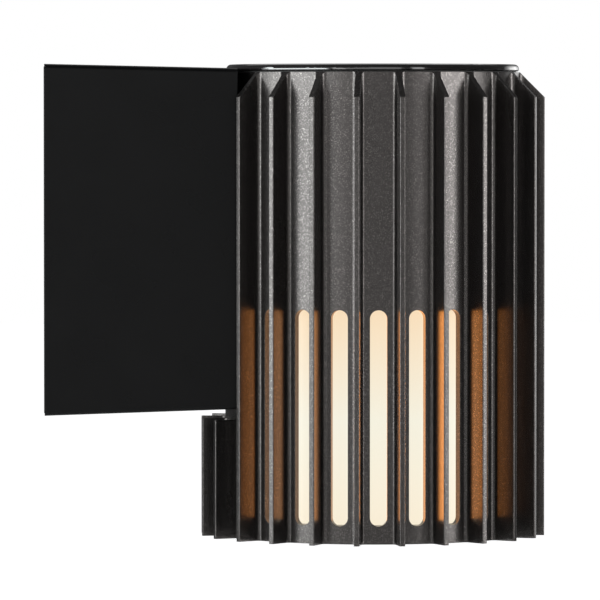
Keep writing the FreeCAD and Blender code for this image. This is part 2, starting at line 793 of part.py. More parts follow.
def holder_metal():
    """The screw shell and centre contact in the holder, and the screws that hold it to the deck."""
    turned("holder_shell", [
        ("shell_inner_r", "holder_bottom + shell_end_gap"),
        ("shell_outer_r", "holder_bottom + shell_end_gap"),
        ("shell_outer_r", "holder_floor"),
        ("shell_lip_r", "holder_floor"),
        ("shell_lip_r", "holder_floor - shell_wall"),
        ("shell_inner_r", "holder_floor - shell_wall"),
    ])
    turned("holder_contact", [
        ("0", "holder_floor - contact_height"),
        ("contact_tip_r", "holder_floor - contact_height"),
        ("contact_r", "holder_floor - contact_plate"),
        ("contact_r", "holder_floor"),
        ("0", "holder_floor"),
    ])
    places = both_sides("holder_screw_x", "0")
    grip = "deck_thickness + holder_screw_grip"
    upright_screws("holder_screws", places, "deck_top", grip, "m3", head_below=False)


# Lamp

def bulb_metal():
    turned("bulb_tip", [
        ("0", "tip_bottom"),
        ("tip_r", "tip_bottom"),
        ("tip_r", "tip_bottom + tip_height / 2"),
        ("contact_tip_r", "tip_top"),
        ("0", "tip_top"),
    ])
    turned("bulb_insulator", [
        ("0", "base_top"),
        ("insulator_r", "base_top"),
        ("insulator_r", "base_top + insulator_rim"),
        ("insulator_top_r", "tip_bottom"),
        ("0", "tip_bottom"),
    ])
    thread = [("base_inner_r", "base_top"), ("base_inner_r", "base_bottom")]
    for turn in range(2 * int(value("base_turns")) + 1):
        radius = "base_crest_r" if turn % 2 else "base_root_r"
        thread.append((radius, f"base_bottom + thread_pitch / 2 * {turn}"))
    turned("bulb_base", thread)


def bulb_glass():
    waist = "base_bottom - collar_waist_drop"
    turned("bulb_collar", [
        ("collar_neck_r - collar_wall", "base_bottom"),
        ("collar_neck_r - collar_wall", "base_bottom - collar_neck_length"),
        ("collar_waist_r - collar_wall", waist),
        ("bulb_mouth_r - collar_wall", "collar_bottom"),
        ("bulb_mouth_r", "collar_bottom"),
        ("collar_waist_r", waist),
        ("collar_neck_r", "base_bottom - collar_neck_length"),
        ("collar_neck_r", "base_bottom"),
    ])
    board = "collar_bottom - led_board_thickness"
    ring("bulb_led_board", "0", "bulb_inner_mouth_r", board, "collar_bottom")
    turned("bulb_envelope", [
        ("0", "bulb_centre - bulb_r", "bulb_r", -1),
        ("bulb_r", "bulb_centre", "bulb_r", -1),
        ("bulb_mouth_r", "collar_bottom"),
        ("bulb_inner_mouth_r", "collar_bottom", "bulb_inner_r", 1),
        ("bulb_inner_r", "bulb_centre", "bulb_inner_r", 1),
        ("0", "bulb_centre - bulb_inner_r"),
    ])


# Diffuser and bezel

def diffuser():
    corner, inner_corner = "diffuser_corner_r", "diffuser_inner_corner_r"
    turned("diffuser", [
        ("0", "bezel_top"),
        (f"diffuser_r - {corner}", "bezel_top", corner, -1),
        ("diffuser_r", f"bezel_top + {corner}"),
        ("diffuser_r", "diffuser_top"),
        ("diffuser_inner_r", "diffuser_top"),
        ("diffuser_inner_r", f"diffuser_floor_top + {inner_corner}", inner_corner, 1),
        (f"diffuser_inner_r - {inner_corner}", "diffuser_floor_top"),
        ("0", "diffuser_floor_top"),
    ])
    ring("diffuser_gasket", "diffuser_inner_r", "diffuser_r", "diffuser_top", "shoulder_bottom")


def bezel():
    places = bezel_screw_places()
    body = turned("bottom_bezel", [
        ("bezel_inner_r + bezel_chamfer", "bezel_bottom"),
        ("bezel_r", "bezel_bottom"),
        ("bezel_r", "bezel_top"),
        ("bezel_inner_r", "bezel_top"),
        ("bezel_inner_r", "bezel_bottom + bezel_chamfer"),
    ])
    holes = [(x, y, "m2_r + hole_gap") for x, y in places]
    sketch = draw(body, "holes", "XY_Plane", holes, "bezel_top + overrun")
    pocket(body, sketch, "bezel_thickness + 2 * overrun")
    wells = [(x, y, "m2_head_r + well_gap") for x, y in places]
    sketch = draw(body, "wells", "XY_Plane", wells, "bezel_bottom + bezel_counterbore_depth")
    pocket(body, sketch, "bezel_counterbore_depth + overrun")
    gap = "gasket_side_gap"
    body = ring("bezel_gasket", f"flange_r + {gap}", f"bezel_r - {gap}", "bezel_top", "flange_bottom")
    sketch = draw(body, "holes", "XY_Plane", holes, "flange_bottom + overrun")
    pocket(body, sketch, "bezel_gasket + 2 * overrun")
    head_face = "bezel_bottom + bezel_counterbore_depth"
    upright_screws("bezel_screws", places, head_face, "bezel_screw_length", "m2")


# Wall box

def wall_box():
    """The drafted box, open to the wall, whose front fits around the body."""
    body = new_body("wall_box")
    corner = "box_corner_r"
    bottom = "0 - box_half_height"
    rear = rounded_rectangle("box_half_width", bottom, "box_half_height", corner)
    front = rounded_rectangle("box_front_half_width", "box_front_bottom", "box_front_top", corner)
    sketches = [
        draw(body, "rear", "XZ_Plane", [rear], "box_rim_gap"),
        draw(body, "front", "XZ_Plane", [front], "box_front"),
    ]
    loft(body, sketches, "AdditiveLoft")
    wall = "box_wall"
    rear = rectangle(
        f"{wall} - box_half_width", f"{bottom} + {wall}",
        f"box_half_width - {wall}", f"box_half_height - {wall}")
    front = rectangle(
        f"{wall} - box_front_half_width", f"box_front_bottom + {wall}",
        f"box_front_half_width - {wall}", f"box_front_top - {wall}")
    sketches = [
        draw(body, "cavity_rear", "XZ_Plane", [rear], "box_rim_gap"),
        draw(body, "cavity_front", "XZ_Plane", [front], "box_cavity_front"),
    ]
    loft(body, sketches, "SubtractiveLoft")
    seat = box_seat_outline("box_rim_lip")
    sketch = draw(body, "gasket_seat", "XZ_Plane", [seat], "box_gasket")
    pocket(body, sketch, "box_gasket + overrun")
    add_saddle(body)
    add_box_bosses(body)


def box_seat_outline(inset):
    """The outline of the box's rear rim, brought in by an inset that its corners follow."""
    half = f"(box_half_height - ({inset}))"
    return rounded_rectangle(
        f"(box_half_width - ({inset}))", f"0 - {half}", half, f"(box_corner_r - ({inset}))")


def add_saddle(body):
    """The hollow that the round body sits in, and the pockets that even out the front wall."""
    around = [("0", "0 - axis_to_wall", "saddle_r")]
    sketch = draw(body, "saddle", "XY_Plane", around, "box_half_height + overrun")
    pocket(body, sketch, "2 * (box_half_height + overrun)")
    low, high = "box_front_bottom + box_wall", "box_front_top - box_wall"
    inner, outer = "saddle_pocket_x", "(box_front_half_width - box_wall)"
    pockets = [
        rectangle(inner, low, outer, high),
        rectangle(f"0 - {outer}", low, f"0 - {inner}", high),
    ]
    sketch = draw(body, "pockets", "XZ_Plane", pockets, "box_cavity_front")
    pocket(body, sketch, "box_front - box_wall - box_cavity_front", True)


def add_box_bosses(body):
    """Bosses and holes for the arm, lock, terminal and earth screws, and the lead hole."""
    arm_heights = ("arm_screw_high", "arm_screw_low")
    bosses = [("0", z, "arm_boss_r") for z in arm_heights]
    sketch = draw(body, "arm_bosses", "XZ_Plane", bosses, "box_cavity_front + box_wall / 2")
    pad(body, sketch, "arm_boss_length + box_wall / 2", True)
    threads = [("0", z, "m4_r + thread_gap") for z in arm_heights]
    sketch = draw(body, "arm_threads", "XZ_Plane", threads, "box_front")
    pocket(body, sketch, "box_front - box_cavity_front + arm_screw_reach + screw_tip_gap")
    sketch = draw(body, "lead_hole", "XZ_Plane", [("0", "bush_z", "bush_hole_r")], "box_front")
    pocket(body, sketch, "box_front - box_cavity_front + overrun")
    half = "terminal_pad_width / 2"
    middle = "pole_pitch / 2"
    seat = rectangle(
        f"{middle} - {half}", f"terminal_mid - {half}",
        f"{middle} + {half}", f"terminal_mid + {half}")
    sketch = draw(body, "terminal_pad", "XZ_Plane", [seat], "box_cavity_front + box_wall / 2")
    pad(body, sketch, "terminal_pad + box_wall / 2", True)
    hole = [(middle, "terminal_mid", "m3_r + thread_gap")]
    sketch = draw(body, "terminal_thread", "XZ_Plane", hole, "axis_to_wall - saddle_r - box_wall / 2")
    pocket(body, sketch, "terminal_pad + box_wall + overrun")
    boss = [("0 - earth_x", "earth_z", "earth_boss_r")]
    sketch = draw(body, "earth_boss", "XZ_Plane", boss, "box_cavity_front + box_wall / 2")
    pad(body, sketch, "earth_boss_length + box_wall / 2", True)
    hole = [("0 - earth_x", "earth_z", "m4_r + thread_gap")]
    sketch = draw(body, "earth_thread", "XZ_Plane", hole, "box_cavity_front")
    pocket(body, sketch, "earth_boss_length + overrun")
    places = both_sides("lock_screw_x", "0 - lock_screw_y")
    bosses = [(x, y, "lock_boss_r") for x, y in places]
    floor = "box_wall - box_half_height"
    sketch = draw(body, "lock_bosses", "XY_Plane", bosses, f"{floor} - box_wall / 2")
    pad(body, sketch, "lock_boss_height + box_wall / 2")
    holes = [(x, y, "m4_r + thread_gap") for x, y in places]
    sketch = draw(body, "lock_threads", "XY_Plane", holes, f"{floor} + lock_boss_height + overrun")
    pocket(body, sketch, "lock_boss_height + box_wall + 2 * overrun")


def box_seals():
    """The foam frame inside the box's rear rim, and the curved sheet between the box and the body."""
    body = new_body("box_gasket")
    width = "box_gasket_width"
    outer = box_seat_outline("box_rim_lip + gasket_side_gap")
    inner = rectangle(
        f"{width} - box_half_width", f"{width} - box_half_height",
        f"box_half_width - {width}", f"box_half_height - {width}")
    pad(body, draw(body, "frame", "XZ_Plane", [outer, inner]), "box_gasket")
    body = lamp_body("saddle_gasket")
    half, near, far = "saddle_half_width", "(core_outer_r + saddle_gap)", "(saddle_r - saddle_gap)"
    near_y, far_y = f"sqrt({near} ^ 2 - {half} ^ 2)", f"sqrt({far} ^ 2 - {half} ^ 2)"
    sheet_outline = [
        (half, near_y),
        (half, far_y, far, -1),
        (f"0 - {half}", far_y),
        (f"0 - {half}", near_y, near, 1),
    ]
    low, high = "box_front_bottom + saddle_end_gap", "box_front_top - saddle_end_gap"
    pad(body, draw(body, "sheet", "XY_Plane", [sheet_outline], low), f"{high} - ({low})")
    holes = [("0", z, "m4_r + hole_gap") for z in ("arm_screw_high", "arm_screw_low")]
    holes.append(("0", "bush_z", "bush_hole_r"))
    sketch = draw(body, "holes", "XZ_Plane", holes, "overrun - core_outer_r")
    pocket(body, sketch, "saddle_gasket + 2 * overrun")


def box_joint():
    """What joins the box to the body: two screws from inside, their washers, and the lead bush."""
    heights = ("arm_screw_high", "arm_screw_low")
    body = lamp_body("arm_washers")
    loops = [("0", z, r) for z in heights for r in ("washer_r", "m4_r + hole_gap")]
    sketch = draw(body, "rings", "XZ_Plane", loops, "0 - arm_pad_face")
    pad(body, sketch, "washer_thickness")
    body = lamp_body("arm_screws")
    face = "washer_thickness - arm_pad_face"
    grip = "washer_thickness - arm_pad_face + box_inner_face + arm_screw_reach"
    level_screws(body, [("0", z) for z in heights], face, grip, "m4", head_rear=False)
    body = new_body("lead_bush", ahead="axis_to_wall", up="bush_z")
    inner_end, inner_face = "bush_inner_face - bush_flange", "bush_inner_face"
    outline = [
        (inner_end, "bush_bore_r"),
        (inner_end, "bush_flange_r"),
        (inner_face, "bush_flange_r"),
        (inner_face, "bush_r"),
        ("box_inner_face", "bush_r"),
        ("box_inner_face", "bush_flange_r"),
        ("box_inner_face + bush_flange", "bush_flange_r"),
        ("box_inner_face + bush_flange", "bush_bore_r"),
    ]
    spin(body, draw(body, "profile", "YZ_Plane", [outline]), axis="H_Axis")


# Wall bracket

def wall_bracket():
    """A folded steel plate: flat on the wall, with a flange at its top and bottom."""
    body = new_body("wall_bracket")
    top, bottom = "bracket_half_height", "0 - bracket_half_height"
    bend, sheet_t = "bracket_bend_r", "bracket_sheet"
    outline = [
        ("0", f"{bottom} + {bend}"),
        ("0", f"{top} - {bend}", bend, -1),
        (f"0 - {bend}", top),
        ("0 - bracket_flange", top),
        ("0 - bracket_flange", f"{top} - {sheet_t}"),
        (f"0 - {sheet_t}", f"{top} - {sheet_t}"),
        (f"0 - {sheet_t}", f"{bottom} + {sheet_t}"),
        ("0 - bracket_flange", f"{bottom} + {sheet_t}"),
        ("0 - bracket_flange", bottom),
        (f"0 - {bend}", bottom, bend, -1),
    ]
    sketch = draw(body, "section", "YZ_Plane", [outline], "0 - bracket_half_width")
    pad(body, sketch, "2 * bracket_half_width")
    reach = "wall_slot_length / 2"
    loops = [("0", "0", "cable_hole_r")]
    for middle in ("wall_slot_spacing / 2", "0 - wall_slot_spacing / 2"):
        loops.append(stadium("wall_slot_width / 2", f"{middle} - {reach}", f"{middle} + {reach}"))
    sketch = draw(body, "holes", "XZ_Plane", loops, "bracket_sheet + overrun")
    pocket(body, sketch, "bracket_sheet + 2 * overrun")
    sketch = draw(body, "lip_seat", "XZ_Plane", [("0", "0", "cable_lip_r")], "cable_lip")
    pocket(body, sketch, "cable_lip + overrun")


def cable_grommet():
    body = new_body("cable_grommet")
    lip_r, sleeve_r = "cable_lip_r - grommet_gap", "cable_hole_r - grommet_gap"
    flange_end = "(0 - bracket_sheet - grommet_flange)"
    outline = [
        ("0", "grommet_bore_r"),
        ("0", lip_r),
        ("0 - cable_lip", lip_r),
        ("0 - cable_lip", sleeve_r),
        ("0 - bracket_sheet", sleeve_r),
        ("0 - bracket_sheet", "grommet_flange_r"),
        (flange_end, "grommet_flange_r"),
        (flange_end, "grommet_sleeve_r"),
        ("0 - grommet_length", "grommet_sleeve_r"),
        ("0 - grommet_length", "grommet_bore_r"),
    ]
    spin(body, draw(body, "profile", "YZ_Plane", [outline]), axis="H_Axis")


def locking_screws():
    """Two headless screws up through the box's floor, that press on the bracket's lower flange."""
    body = new_body("locking_screws")
    places = both_sides("lock_screw_x", "0 - lock_screw_y")
    shanks = [(x, y, "m4_r") for x, y in places]
    bottom = "lock_tip - lock_screw_length"
    pad(body, draw(body, "shanks", "XY_Plane", shanks, bottom), "lock_screw_length")
    recess = [hexagon(x, y, "m4_socket") for x, y in places]
    pocket(body, draw(body, "recess", "XY_Plane", recess, bottom), "socket_depth", True)


# Terminals and earth

def pole_places(height):
    return [(f"{number} * pole_pitch", height) for number in ("(0 - 1)", "0", "1")]


def screw_places():
    heights = ("terminal_mid + terminal_screw_z", "terminal_mid - terminal_screw_z")
    return [place for z in heights for place in pole_places(z)]


def terminal_block():
    body = lamp_body("terminal_block")
    half = "terminal_width / 2"
    block = rectangle(f"0 - {half}", "terminal_bottom", half, "terminal_top")
    pad(body, draw(body, "block", "XZ_Plane", [block], "0 - terminal_face"), "terminal_depth", True)
    bores = [(x, "terminal_centre", "clamp_r + clamp_gap") for x, _ in pole_places("0")]
    sketch = draw(body, "bores", "XY_Plane", bores, "terminal_top + overrun")
    pocket(body, sketch, "terminal_height + 2 * overrun")
    wells = [(x, z, "m2_head_r + well_gap") for x, z in screw_places()]
    rear = "0 - terminal_face - terminal_depth"
    pocket(body, draw(body, "wells", "XZ_Plane", wells, rear), "terminal_depth / 2", True)
    fixing = [("pole_pitch / 2", "terminal_mid", "m3_r + thread_gap")]
    pocket(body, draw(body, "fixing", "XZ_Plane", fixing, rear), "terminal_depth + overrun", True)


def terminal_metal():
    body = lamp_body("terminal_clamps")
    radii = ("clamp_r", "clamp_bore_r")
    loops = [(x, "terminal_centre", r) for x, _ in pole_places("0") for r in radii]
    sketch = draw(body, "tubes", "XY_Plane", loops, "terminal_mid - clamp_length / 2")
    pad(body, sketch, "clamp_length")
    holes = [(x, z, "m2_r + thread_gap") for x, z in screw_places()]
    sketch = draw(body, "threads", "XZ_Plane", holes, "0 - terminal_centre")
    pocket(body, sketch, "clamp_r + overrun")
    body = lamp_body("terminal_screws")
    face = "terminal_screw_sink - terminal_face - terminal_depth + m2_head"
    grip = "terminal_depth / 2 - terminal_screw_sink - m2_head - lead_r"
    level_screws(body, screw_places(), face, grip, "m2", head_rear=True)
    body = lamp_body("terminal_fixing_screw")
    face = "0 - terminal_face - terminal_depth"
    place = [("pole_pitch / 2", "terminal_mid")]
    grip = "terminal_depth + terminal_pad + box_wall / 2"
    level_screws(body, place, face, grip, "m3", head_rear=True)


def earth_parts():
    """The ring tag, with a neck and a barrel for the lead, and the screw that holds it."""
    body = lamp_body("earth_tag")
    outline = [("0 - earth_x", "earth_z", "tag_r"), ("0 - earth_x", "earth_z", "m4_r + hole_gap")]
    pad(body, draw(body, "ring", "XZ_Plane", outline, "0 - earth_face"), "tag_sheet", True)
    middle = "earth_face + tag_barrel_r"
    top = "earth_z - tag_neck"
    neck = rectangle(
        "0 - earth_x - tag_barrel_r", f"{top} - tag_barrel_r",
        "tag_barrel_r - earth_x", "earth_z - m4_r - tag_sheet")
    pad(body, draw(body, "neck", "XZ_Plane", [neck], "0 - earth_face"), "tag_sheet", True)
    barrel = [("0 - earth_x", middle, "tag_barrel_r")]
    pad(body, draw(body, "barrel", "XY_Plane", barrel, top), "tag_barrel_length", True)
    bore = [("0 - earth_x", middle, "lead_r")]
    sketch = draw(body, "bore", "XY_Plane", bore, f"{top} - tag_barrel_length")
    pocket(body, sketch, "tag_barrel_length - tag_sheet", True)
    body = lamp_body("earth_screw")
    face = "0 - earth_face - tag_sheet"
    grip = "tag_sheet + earth_boss_length - screw_tip_gap"
    level_screws(body, [("0 - earth_x", "earth_z")], face, grip, "m4", head_rear=True)


# Leads inside the light

def lead(label, points):
    """A round lead along straight runs that tangent arcs join."""
    places = [V(value(x), value(y), value(z)) for x, y, z in points]
    share, edges, start = value("lead_arc_share"), [], places[0]
    for before, corner, after in zip(places, places[1:], places[2:]):
        into, out = (corner - before), (after - corner)
        reach = share * min(into.Length, out.Length)
        into.normalize()
        out.normalize()
        first, last = corner - into * reach, corner + out * reach
        bend = into.getAngle(out)
        radius = reach / math.tan(bend / 2)
        inward = (out - into).normalize()
        middle = corner + inward * (radius / math.cos(bend / 2) - radius)
        edges += [Part.LineSegment(start, first).toShape(), Part.Arc(first, middle, last).toShape()]
        start = last
        print(f"{label}: arc radius {radius:.1f}")
    edges.append(Part.LineSegment(start, places[-1]).toShape())
    path = Part.Wire(edges)
    circle = Part.Circle(places[0], places[1] - places[0], value("lead_r"))
    tube = path.makePipeShell([Part.Wire([circle.toShape()])], True, False)
    area = math.pi * value("lead_r") ** 2
    if abs(tube.Volume / (area * path.Length) - 1) > 0.01:
        raise RuntimeError(f"{label} has the wrong volume")
    piece = doc.addObject("Part::Feature", label)
    piece.Label = label
    piece.Shape = tube
    piece.Placement = FreeCAD.Placement(V(0, -value("axis_to_wall"), 0), FreeCAD.Rotation())
    parts.append(piece)


def leads():
    start = "terminal_top - lead_depth_in_clamp"
    middle = "terminal_centre"
    for label, side in (("live_lead", "0 -"), ("neutral_lead", "0 +")):
        lead(label, [
            (f"{side} pole_pitch", middle, start),
            (f"{side} pole_pitch", middle, "terminal_top + lead_rise"),
            (f"{side} lead_x", middle, "bush_z"),
            (f"{side} lead_x", "holder_r + lead_inner_gap", "bush_z"),
            (f"{side} holder_lead_x", "holder_r + lead_up_gap", "holder_lead_z"),
            (f"{side} holder_lead_x", "holder_r - holder_lead_hole_depth + lead_end_gap", "holder_lead_z"),
        ])
    barrel = "earth_face + tag_barrel_r"
    out = f"{middle} + earth_lead_out"
    lead("earth_lead", [
        ("0", middle, start),
        ("0", middle, "terminal_top + lead_rise / 2"),
        ("0 - earth_lead_low_x", out, "terminal_top + earth_lead_low_rise"),
        ("earth_lead_mid_x - earth_x", out, "tag_barrel_foot - earth_lead_mid_drop"),
        ("0 - earth_x", barrel, "tag_barrel_foot - earth_lead_top_drop"),
        ("0 - earth_x", barrel, "tag_barrel_foot + tag_barrel_length / 2"),
    ])


# Checking and writing

def check_document():
    faults = [item.Name for item in doc.Objects if {"Invalid", "Error"} & set(item.State)]
    faults += [part.Label for part in parts if part.Shape.isNull() or not part.Shape.isValid()]
    if faults:
        raise RuntimeError(f"failed: {faults}")


def write_parts():
    os.makedirs("parts", exist_ok=True)
    for part in parts:
        part.Shape.exportStep(f"parts/{part.Label}.step")
        print(f"{part.Label}: {len(part.Shape.Solids)} solid(s), {part.Shape.Volume:.1f} mm3")


fill_sheet()
for build in (
    wall_bracket, cable_grommet, locking_screws, wall_box, box_seals, box_joint,
    terminal_block, terminal_metal, earth_parts, leads,
    finned_body, top_cap, cap_fixings, lamp_holder, holder_metal,
    bulb_metal, bulb_glass, diffuser, bezel,
):
    build()
doc.recompute()
check_document()
write_parts()
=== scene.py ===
import json
import math
import bpy
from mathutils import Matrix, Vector


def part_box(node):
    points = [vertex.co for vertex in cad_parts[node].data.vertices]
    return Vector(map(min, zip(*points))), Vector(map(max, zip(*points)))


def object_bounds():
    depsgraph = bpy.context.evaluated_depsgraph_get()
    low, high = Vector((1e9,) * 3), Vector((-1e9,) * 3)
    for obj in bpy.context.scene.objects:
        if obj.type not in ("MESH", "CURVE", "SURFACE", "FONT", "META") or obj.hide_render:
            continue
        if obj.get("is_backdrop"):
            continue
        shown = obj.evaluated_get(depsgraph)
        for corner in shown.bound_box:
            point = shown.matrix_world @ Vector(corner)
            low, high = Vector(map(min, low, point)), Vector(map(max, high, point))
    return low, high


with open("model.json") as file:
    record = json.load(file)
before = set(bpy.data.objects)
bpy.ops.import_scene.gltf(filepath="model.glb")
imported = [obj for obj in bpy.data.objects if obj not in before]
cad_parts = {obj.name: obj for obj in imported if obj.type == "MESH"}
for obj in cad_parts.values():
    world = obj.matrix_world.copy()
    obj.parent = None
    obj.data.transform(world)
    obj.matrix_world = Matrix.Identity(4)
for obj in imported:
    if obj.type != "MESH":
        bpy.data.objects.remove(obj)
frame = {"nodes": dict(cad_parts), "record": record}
cad_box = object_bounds()

# Looks of the outdoor wall light. Metres, +Z up, the wall is the plane y = 0.
# The lamp is lit: its warm light fills the opal diffuser and shows through the slots.

MM = 0.001
AXIS = sum(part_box("bulb_tip"), Vector()) / 2
DIFFUSER_LOW, DIFFUSER_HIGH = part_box("diffuser")

# Noise seldom leaves this range, so tones and gloss are spread over it
NOISE_LOW, NOISE_HIGH = 0.3, 0.7
BEVEL_SAMPLES = 4


# Nodes that materials are built from

def add_node(tree, kind, settings=None, inputs=None):
    """Adds a node. An input takes a value, or is linked where it gets another node's socket."""
    node = tree.nodes.new(kind)
    for name, setting in (settings or {}).items():
        setattr(node, name, setting)
    for name, source in (inputs or {}).items():
        if isinstance(source, bpy.types.NodeSocket):
            tree.links.new(source, node.inputs[name])
        else:
            node.inputs[name].default_value = source
    return node


def place_on_piece(tree):
    """The place on the piece in metres, which stays with it when it moves."""
    return add_node(tree, "ShaderNodeTexCoord").outputs["Object"]


def noise(tree, size, detail=2.0, stretch=(1, 1, 1)):
    """Cloudy noise whose grains are about size metres across."""
    inputs = {"Vector": place_on_piece(tree), "Scale": stretch}
    place = add_node(tree, "ShaderNodeMapping", inputs=inputs).outputs["Vector"]
    inputs = {"Vector": place, "Scale": 1 / size, "Detail": detail}
    return add_node(tree, "ShaderNodeTexNoise", inputs=inputs).outputs["Fac"]


def flakes(tree, size):
    """A random value for each small cell, as in a coat with metal flakes."""
    inputs = {"Vector": place_on_piece(tree), "Scale": 1 / size}
    cells = add_node(tree, "ShaderNodeTexVoronoi", inputs=inputs).outputs["Color"]
    return add_node(tree, "ShaderNodeSeparateColor", inputs={"Color": cells}).outputs["Red"]


def span(tree, source, low, high, start=0.0, end=1.0):
    """Turns a value between start and end into one between low and high."""
    inputs = {
        "Value": source, "From Min": start, "From Max": end, "To Min": low, "To Max": high}
    return add_node(tree, "ShaderNodeMapRange", inputs=inputs).outputs["Result"]


def combine(tree, operation, first, second):
    """The result of an operation on two values."""
    inputs = {0: first, 1: second}
    return add_node(tree, "ShaderNodeMath", {"operation": operation}, inputs).outputs["Value"]


def ramp(tree, source, stops):
    """Colours along a value. A stop is (place, colour)."""
    node = add_node(tree, "ShaderNodeValToRGB", inputs={"Fac": source})
    elements = node.color_ramp.elements
    while len(elements) < len(stops):
        elements.new(0.5)
    for element, (place, colour) in zip(elements, stops):
        element.position = place
        element.color = (*colour, 1)
    return node.outputs["Color"]


def vary(tree, cloud, low, high):
    """Spreads noise between two values."""
    return span(tree, cloud, low, high, NOISE_LOW, NOISE_HIGH)


def tones(tree, cloud, dark, light):
    """Spreads noise between two colours."""
    return ramp(tree, cloud, [(NOISE_LOW, dark), (NOISE_HIGH, light)])


def relief(tree, height, depth, strength, edge):
    """Small bumps up to depth metres, on a surface whose edges look rounded by edge metres."""
    bevel = add_node(tree, "ShaderNodeBevel", {"samples": BEVEL_SAMPLES}, {"Radius": edge})
    inputs = {
        "Height": height, "Distance": depth, "Strength": strength,
        "Normal": bevel.outputs["Normal"]}
    return add_node(tree, "ShaderNodeBump", inputs=inputs).outputs["Normal"]


def new_material(name):
    """An emptied material with one shader. The frame brings plain ones with the slots' names."""
    material = bpy.data.materials.get(name) or bpy.data.materials.new(name)
    material.use_nodes = True
    tree = material.node_tree
    tree.nodes.clear()
    shader = add_node(tree, "ShaderNodeBsdfPrincipled")
    output = add_node(tree, "ShaderNodeOutputMaterial")
    tree.links.new(shader.outputs["BSDF"], output.inputs["Surface"])
    return material, tree, shader


def set_inputs(tree, shader, **inputs):
    """Sets or links the shader's sockets, written with underscores for spaces."""
    for name, source in inputs.items():
        socket = shader.inputs[name.replace("_", " ")]
        if isinstance(source, bpy.types.NodeSocket):
            tree.links.new(source, socket)
        else:
            socket.default_value = source


# Materials

def sparkle_black():
    """Dark textured powder coat with fine metal flakes."""
    material, tree, shader = new_material("sparkle_black")
    flake = flakes(tree, 0.24 * MM)
    grain = noise(tree, 0.22 * MM, detail=1.0)
    cloud = noise(tree, 14 * MM, stretch=(1, 1, 0.35))
    colour = ramp(tree, flake, [
        (0.0, (0.056, 0.0520, 0.0500)),
        (0.8, (0.070, 0.0650, 0.0625)),
        (1.0, (0.16, 0.149, 0.143)),
    ])
    set_inputs(
        tree, shader, Base_Color=colour, Metallic=0.9, Specular_IOR_Level=0.5,
        Roughness=vary(tree, cloud, 0.24, 0.28),
        Normal=relief(tree, grain, depth=0.03 * MM, strength=0.25, edge=0.3 * MM))
    return material


def satin_black_box():
    """Smooth satin black paint, with the faint waviness of a casting."""
    material, tree, shader = new_material("satin_black_box")
    cloud = noise(tree, 18 * MM)
    peel = noise(tree, 0.9 * MM, detail=1.0)
    set_inputs(
        tree, shader, Specular_IOR_Level=0.12,
        Base_Color=tones(tree, cloud, (0.0024, 0.0024, 0.0025), (0.0032, 0.0032, 0.0033)),
        Roughness=vary(tree, cloud, 0.26, 0.32),
        Normal=relief(tree, peel, depth=0.01 * MM, strength=0.25, edge=0.4 * MM))
    return material


def gloss_black_cap():
    """Glossy black paint with a slight orange peel."""
    material, tree, shader = new_material("gloss_black_cap")
    peel = noise(tree, 2.2 * MM, detail=1.0)
    cloud = noise(tree, 25 * MM)
    set_inputs(
        tree, shader, Specular_IOR_Level=1.0, Coat_Weight=1.0, Coat_Roughness=0.05,
        Base_Color=tones(tree, cloud, (0.006, 0.0055, 0.0055), (0.009, 0.008, 0.008)),
        Roughness=vary(tree, cloud, 0.10, 0.14),
        Normal=relief(tree, peel, depth=0.012 * MM, strength=0.1, edge=0.1 * MM))
    return material


def opal_diffuser():
    """Opal plastic lit from inside, warmer towards its ends. Its own colour is kept low, so
    that it stays a warm white when it is lowered into the light."""
    material, tree, shader = new_material("opal_diffuser")
    place = add_node(tree, "ShaderNodeSeparateXYZ", inputs={"Vector": place_on_piece(tree)})
    rise = span(tree, place.outputs["Z"], 0.0, 1.0, DIFFUSER_LOW.z, DIFFUSER_HIGH.z)
    glow = ramp(tree, rise, [
        (0.0, (0.82, 0.73, 0.57)),
        (0.45, (0.78, 0.75, 0.63)),
        (0.92, (0.81, 0.62, 0.41)),
    ])
    fine = noise(tree, 1.2 * MM, detail=1.0)
    set_inputs(
        tree, shader, Base_Color=(0.09, 0.086, 0.078, 1), Specular_IOR_Level=0.3,
        Emission_Color=glow, Emission_Strength=1.14,
        Roughness=vary(tree, fine, 0.36, 0.46),
        Normal=relief(tree, fine, depth=0.01 * MM, strength=0.2, edge=0.5 * MM))
    return material


def opal_bulb():
    """The lamp's opal globe, lit."""
    material, tree, shader = new_material("opal_bulb")
    cloud = noise(tree, 20 * MM)
    set_inputs(
        tree, shader, Base_Color=(0.20, 0.19, 0.18, 1),
        Emission_Color=tones(tree, cloud, (1.0, 0.78, 0.58), (1.0, 0.82, 0.64)),
        Emission_Strength=0.9, Roughness=vary(tree, cloud, 0.30, 0.38))
    return material


def striped_sleeve():
    """The earth lead's soft sleeve: green with a yellow stripe along it."""
    material, tree, shader = new_material("green_sleeve")
    place = add_node(tree, "ShaderNodeSeparateXYZ", inputs={"Vector": place_on_piece(tree)})
    lead_width = 2.2 * MM
    stripe = combine(tree, "PINGPONG", place.outputs["X"], lead_width)
    share = span(tree, stripe, 0.0, 1.0, 0.0, lead_width)
    green, yellow = (0.06, 0.30, 0.05), (0.75, 0.58, 0.05)
    colour = ramp(tree, share, [(0.0, green), (0.52, green), (0.58, yellow), (1.0, yellow)])
    fine = noise(tree, 0.6 * MM)
    set_inputs(
        tree, shader, Base_Color=colour, Roughness=vary(tree, fine, 0.34, 0.5),
        Normal=relief(tree, fine, depth=0.01 * MM, strength=0.3, edge=0.1 * MM))
    return material


def plain_finish(name, dark, light, roughness, metallic, grain, depth=0.02):
    """Two close tones, with bumps and gloss that follow a grain. Grain and depth in millimetres."""
    material, tree, shader = new_material(name)
    cloud = noise(tree, 9 * MM, detail=3.0)
    fine = noise(tree, grain * MM, detail=3.0)
    set_inputs(
        tree, shader, Base_Color=tones(tree, cloud, dark, light), Metallic=metallic,
        Roughness=vary(tree, fine, *roughness),
        Normal=relief(tree, fine, depth=depth * MM, strength=0.5, edge=0.2 * MM))
    return material


